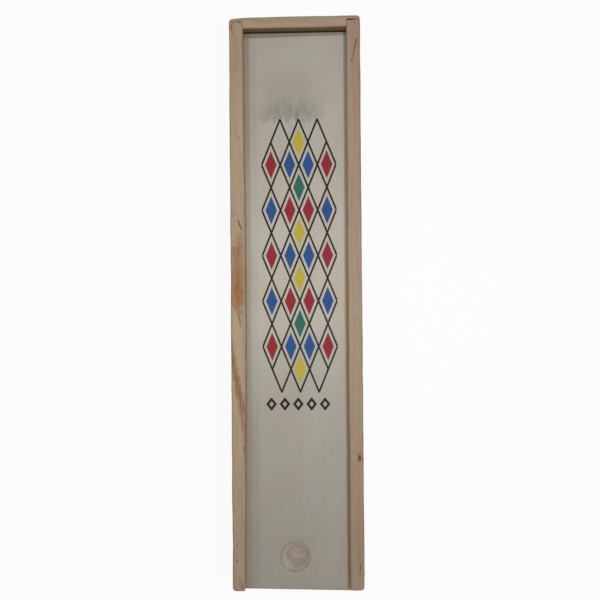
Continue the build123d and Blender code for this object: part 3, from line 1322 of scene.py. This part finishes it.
# %% Which edges of an end board are rounded
def end_edges(low, high):
    """Tests, radii and segments for the edges of one end board."""
    inner, outer = sorted((abs(low.y), abs(high.y)))

    def on_lip(a, b):
        return any(abs(p.y) > lip_back + near for p in (a, b))

    def corner(a, b):
        return all(abs(p.y) > outer - near and abs(p.x) > high.x - near for p in (a, b))

    def rim(a, b):
        return on_lip(a, b) and all(p.z > high.z - near for p in (a, b))

    def inner_rim(a, b):
        return all(p.z > high.z - near and abs(p.y) < inner + near for p in (a, b))

    def under(a, b):
        return on_lip(a, b) and all(p.z < low.z + near for p in (a, b))

    return (
        (corner, corner_round, 5),
        (rim, top_round, 5),
        (inner_rim, inner_round, 2),
        (under, under_round, 3),
    )


print("edge groups of an end board:", len(end_edges(head_low, head_high)))

# %% [markdown]
# The head board's left-hand corner is rubbed away more than the right one, as on a box that is always
# put down on the same corner. The loss fades along the board.

# %% Model the end boards
rubbed_reach = 3.0 * mm


def end_board(name, node, levels, solid, material, rubbed, seed):
    """A rabbeted end board. Rubbed is how much is gone from the outer face at the left-hand corner."""
    low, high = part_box(node)
    side = 1 if low.y > 0 else -1
    bm = lipped_board(side, low, high, levels, solid)
    rounded = [point for edge in end_edges(low, high) for point in round_edges(bm, *edge)]
    wear(bm, rounded, seed)
    for point in bm.verts:
        if abs(point.co.y) > lip_back + near:
            point.co.y -= side * rubbed * exp((low.x - point.co.x) / rubbed_reach)
    finish_piece(name, bm, material, "box", node)


end_board("head_board_wood", "head_board", head_levels, (0, 1, 0, 1), head_wood, 0.55 * mm, 14.0)
end_board("foot_board_wood", "foot_board", foot_levels, (0, 1), foot_wood, 0.1 * mm, 19.0)

# %% [markdown]
# ## The base and the lid
# The base is a plain panel with sawn edges. It starts as the unit cube, is scaled to its size and cut
# across, and every edge is broken by a tenth of a millimetre.

# %% Model the base
sawn_round = 0.12 * mm


def panel(low, high):
    """A plain board between two corners."""
    bm = bmesh.new()
    bmesh.ops.create_cube(bm, size=1.0)
    bmesh.ops.scale(bm, verts=bm.verts, vec=high - low)
    bmesh.ops.translate(bm, verts=bm.verts, vec=(low + high) / 2)
    return bm


def every_edge(a, b):
    return True


base_mesh = panel(base_low, base_high)
cut_across(base_mesh, 1, base_low.y, base_high.y)
round_edges(base_mesh, every_edge, sawn_round, 2)
finish_piece("base_board", base_mesh, base_wood, "box", "base_panel")

# %% [markdown]
# The lid is the same plywood with its ends eased and a round recess for a finger. A round hole doesn't
# grow from a flat face by itself: a square patch is cut free, a ring of points is laid in it, and the
# two loops are bridged. The ring then goes down in steps: a shallow rim, a wall, and a rounded floor.

# %% The outline of the finger recess
patch_half = 8.0 * mm
recess_points = 48
rim_depth = 0.3 * mm
core_depth = 1.1 * mm
floor_round = 0.6 * mm
floor_rings = 5


def recess_profile():
    """Radius and depth of each ring, from the lid's face to the floor."""
    profile = [
        (rim_radius + 0.15 * mm, 0.0),
        (rim_radius, 0.08 * mm),
        (rim_radius - 0.08 * mm, rim_depth - 0.03 * mm),
        (rim_radius - 0.14 * mm, rim_depth),
        (core_radius + 0.08 * mm, rim_depth + 0.02 * mm),
        (core_radius, rim_depth + 0.1 * mm),
    ]
    for number in range(floor_rings):
        angle = pi / 2 * number / (floor_rings - 1)
        radius = core_radius - floor_round * (1 - cos(angle))
        profile.append((radius, core_depth - floor_round * (1 - sin(angle))))
    return profile


print("the recess goes down in", len(recess_profile()), "rings")


# %% Cut the recess
def recess_ring(bm, radius, depth):
    """A ring of points round the recess at a depth, as edges."""
    shift = core_shift if radius < rim_radius - 0.5 * mm else Vector()
    place = Matrix.Translation(recess_middle + shift - Vector((0, 0, depth)))
    made = bmesh.ops.create_circle(bm, segments=recess_points, radius=radius, matrix=place)
    return list({e for v in made["verts"] for e in v.link_edges})


def cut_recess(bm):
    """Opens a square patch of the lid's upper face and bridges the rings down from it."""
    for axis in (0, 1):
        for way in (-1, 1):
            point = recess_middle.copy()
            point[axis] += way * patch_half
            slice_at(bm, point, along_axis(axis))
    upper = [f for f in bm.faces if f.normal.z > 0.9]
    patch = min(upper, key=lambda f: (f.calc_center_median() - recess_middle).length)
    square = list(patch.edges)
    bmesh.ops.delete(bm, geom=[patch], context="FACES_ONLY")
    bmesh.ops.subdivide_edges(bm, edges=square, cuts=recess_points // 4 - 1)
    outer_ring = [e for e in bm.edges if e.is_boundary]
    for radius, depth in recess_profile():
        ring = recess_ring(bm, radius, depth)
        bmesh.ops.bridge_loops(bm, edges=outer_ring + ring)
        outer_ring = ring
    floor = bmesh.ops.edgeloop_fill(bm, edges=outer_ring)["faces"]
    bmesh.ops.poke(bm, faces=floor)
    bmesh.ops.recalc_face_normals(bm, faces=bm.faces)


print("the recess's width and depth in mm:", in_mm([2 * rim_radius, core_depth]))

# %% [markdown]
# The lid's foot end was sawn a little out of square, so its right-hand corner stands further out than
# the left. Only the points near that end move.

# %% Model the lid
foot_skew = 0.225 * mm
foot_shift = 0.105 * mm
end_ease, side_ease = 0.3 * mm, 0.15 * mm


def at_lid_end(a, b):
    return abs(a.y - b.y) < near and abs(a.z - b.z) < near and abs(a.x - b.x) > mm


def at_lid_side(a, b):
    return abs(a.x - b.x) < near and abs(abs(a.x) - lid_high.x) < mm


def sliding_lid():
    """The lid with eased edges, the finger recess and its foot end out of square."""
    bm = panel(lid_low, lid_high)
    cut_recess(bm)
    round_edges(bm, at_lid_end, end_ease, 4)
    round_edges(bm, at_lid_side, side_ease, 2)
    for point in bm.verts:
        if point.co.y < lid_low.y + mm:
            point.co.y -= foot_shift + foot_skew * point.co.x / inner_edge
    finish_piece("lid_board", bm, lid_wood, "lid", "sliding_lid")


sliding_lid()

# %% [markdown]
# ## The sticks
# A stick is a turned piece, so half its outline is spun round its axis. Before it is laid in its place
# each point notes where it is on the stick. The row on top lies a little askew: the frame's box of a
# stick says how far, and the side that it lies on says which way.

# %% The outline of a stick
stick_radius = 1.5 * mm
tip_radius = 0.3 * mm
point_length = 9.0 * mm
spin_steps = 20


def stick_outline():
    """Half the outline from one tip to the other, as radius and place along the stick."""
    half = stick_length * mm / 2
    shoulder = half - point_length
    one_end = [
        (0.0, half),
        (tip_radius * 0.7, half - 0.03 * mm),
        (tip_radius, half - 0.2 * mm),
        (stick_radius * 0.94, shoulder + 0.6 * mm),
        (stick_radius * 0.99, shoulder + 0.1 * mm),
        (stick_radius, shoulder - 0.5 * mm),
        (stick_radius, shoulder / 2),
    ]
    other_end = [(radius, -along) for radius, along in reversed(one_end)]
    return one_end + [(stick_radius, 0.0)] + other_end


print("the outline has", len(stick_outline()), "points")


# %% Turn the sticks and lay them in the box
roll_between = 2.4
luck_between = 0.618


def stick_place(node, seed):
    """Where a stick lies: its middle, how it slants, and how it has rolled."""
    low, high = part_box(node)
    middle = (low + high) / 2
    lean = max(0.0, (high.x - low.x) - 2 * stick_radius) / (stick_length * mm)
    slant = Matrix.Rotation(-atan(lean) if middle.x > 0 else atan(lean), 4, "Z")
    rolled = Matrix.Rotation(pi * (seed % 2), 4, "Z") @ Matrix.Rotation(seed * roll_between, 4, "Y")
    return Matrix.Translation(middle) @ slant @ rolled


def turned_stick(node, kind, seed):
    """One stick, spun, noted and laid where the frame has it."""
    bm = bmesh.new()
    points = [bm.verts.new((radius, along, 0)) for radius, along in stick_outline()]
    edges = [bm.edges.new(pair) for pair in zip(points, points[1:])]
    bmesh.ops.spin(
        bm,
        geom=points + edges,
        cent=(0, 0, 0),
        axis=(0, 1, 0),
        angle=2 * pi,
        steps=spin_steps,
        use_merge=True,
    )
    bmesh.ops.remove_doubles(bm, verts=bm.verts, dist=same_place)
    own_place = bm.verts.layers.float_vector.new("own_place")
    luck = bm.verts.layers.float.new("luck")
    for point in bm.verts:
        point[own_place] = point.co
        point[luck] = seed * luck_between % 1.0
    bmesh.ops.transform(bm, matrix=stick_place(node, seed), verts=bm.verts)
    finish_piece(node + "_turned", bm, stick_finishes[kind], "sticks", node)


stick_nodes = sorted(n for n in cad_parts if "_point_stick" in n)
for number, node in enumerate(stick_nodes):
    turned_stick(node, node.rstrip("0123456789_"), number)
print(len(stick_nodes), "sticks")

# %% [markdown]
# ## Floor, light and camera
# The box lies on a plain pale floor. Where the camera sees it, the floor is lifted towards white, and
# still takes the shadow. The world is white for the camera as well, and dim for everything that it
# lights. Reflections count as seen, so that gloss shows the same white room.

# %% What the camera sees
def seen(sheet):
    """1 for a ray that shows a picture of the room: from the camera, a reflection or through glass."""
    camera_ray = sheet.node("LightPath", {}, {}, output="Is Camera Ray")
    glossy_ray = sheet.node("LightPath", {}, {}, output="Is Glossy Ray")
    glass_ray = sheet.node("LightPath", {}, {}, output="Is Transmission Ray")
    return sheet.math("MAXIMUM", sheet.math("MAXIMUM", camera_ray, glossy_ray), glass_ray)


def soft_world(strength, tint):
    """Even light from all sides, seen as white."""
    world = bpy.data.worlds.new("studio")
    sheet = Sheet(world)
    dim = [strength * share for share in tint] + [1.0]
    colour = blend(seen(sheet), dim, (1.0, 1.0, 1.0, 1.0))
    surface = sheet.node("Background", {}, {"Color": colour, "Strength": 1.0})
    sheet.node("OutputWorld", {}, {"Surface": surface})
    bpy.context.scene.world = world


world_strength = 0.22
world_tint = (1.0, 0.94, 0.86)
soft_world(world_strength, world_tint)
print("world:", world_strength, "of white")

# %% [markdown]
# The floor's lift is strongest far away, where it has to meet the white world, and a little less round
# the box, where a soft shadow shows what the box stands on.

# %% The floor
near_lift = 0.92
floor_near, floor_far = 260.0, 700.0
floor_grey = (0.88, 0.88, 0.88, 1.0)
floor_half = 4.0
floor_drop = 0.1 * mm


def floor_finish():
    """A floor that is seen nearly white, and that lights the object as a pale grey."""
    sheet = material_sheet("floor")
    away = sheet.node("VectorMath", {"operation": "LENGTH"}, {0: place_in_mm(sheet)}, output="Value")
    lift = near_lift + step(away, floor_near, floor_far) * (1 - near_lift)
    diffuse = sheet.node("BsdfDiffuse", {}, {"Color": floor_grey})
    white = sheet.node("Emission", {}, {"Color": (1.0, 1.0, 1.0, 1.0), "Strength": 1.0})
    surface = sheet.node("MixShader", {}, {0: seen(sheet) * lift, 1: diffuse, 2: white})
    sheet.node("OutputMaterial", {}, {"Surface": surface})
    return sheet.owner


def pale_floor():
    bm = bmesh.new()
    bmesh.ops.create_grid(bm, x_segments=1, y_segments=1, size=floor_half)
    bmesh.ops.translate(bm, verts=bm.verts, vec=(0, 0, -floor_drop))
    mesh = bpy.data.meshes.new("floor")
    bm.to_mesh(mesh)
    bm.free()
    mesh.materials.append(floor_finish())
    floor = bpy.data.objects.new("floor", mesh)
    bpy.context.scene.collection.objects.link(floor)
    floor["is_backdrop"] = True


pale_floor()
print("floor lift near the box:", near_lift)

# %% [markdown]
# Three lamps light the box at a level at which a colour comes out about as it is written. The key lamp
# is small and stands to the right, so the right-hand rail throws a narrow, fairly sharp shadow on the
# lid. A weaker lamp on the left does the same there, and a large one overhead fills both.

# %% Lamps
Lamp = namedtuple("Lamp", "name place aim size watts")
lamps = (
    Lamp("key", (0.084, -0.015, 0.30), (0.0, -0.015, 0.024), 0.016, 0.34),
    Lamp("left", (-0.14, 0.06, 0.30), (0.0, 0.03, 0.024), 0.02, 0.08),
    Lamp("overhead", (0.0, 0.01, 0.28), (0.0, 0.01, 0.024), 0.1, 0.19),
)


def hang(lamp):
    """A square soft lamp. Its places are in metres."""
    light = bpy.data.lights.new(lamp.name, "AREA")
    light.size = lamp.size
    light.energy = lamp.watts
    lamp_object = bpy.data.objects.new(lamp.name, light)
    lamp_object.location = lamp.place
    beam = Vector(lamp.aim) - Vector(lamp.place)
    lamp_object.rotation_euler = beam.to_track_quat("-Z", "Y").to_euler()
    lamp_object.visible_camera = False
    bpy.context.scene.collection.objects.link(lamp_object)


for lamp in lamps:
    hang(lamp)
print("watts:", {lamp.name: lamp.watts for lamp in lamps})

# %% [markdown]
# The photograph was taken from above, from about 200 mm over the rim, a little to the right of the
# middle, with a tilt of a degree and a half and a turn of half a degree. A camera's angle of view is set
# by its focal length against the sensor's width.

# %% Camera
camera_place = Vector((6.58, 0.34, 228.0)) * mm
camera_turn = (0.00615, 0.02654, -0.0078)
sensor_width = 36.0
focal_in_frames = 580.4 / 600
nearest_seen = 10.0 * mm

camera_data = bpy.data.cameras.new("camera")
camera_data.sensor_width = sensor_width
camera_data.lens = sensor_width * focal_in_frames
camera_data.clip_start = nearest_seen
camera = bpy.data.objects.new("camera", camera_data)
camera.location = camera_place
camera.rotation_euler = camera_turn
bpy.context.scene.collection.objects.link(camera)
bpy.context.scene.camera = camera
bpy.context.scene.view_settings.view_transform = "Standard"
print("lens in mm:", round(camera_data.lens, 2))

# %% [markdown]
# Last, the box of all that shows is printed, in millimetres. Dressing a part mustn't change its
# size.

# %% The box of all that shows
shown_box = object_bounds()
print("shown box in mm:", [in_mm(corner) for corner in shown_box])
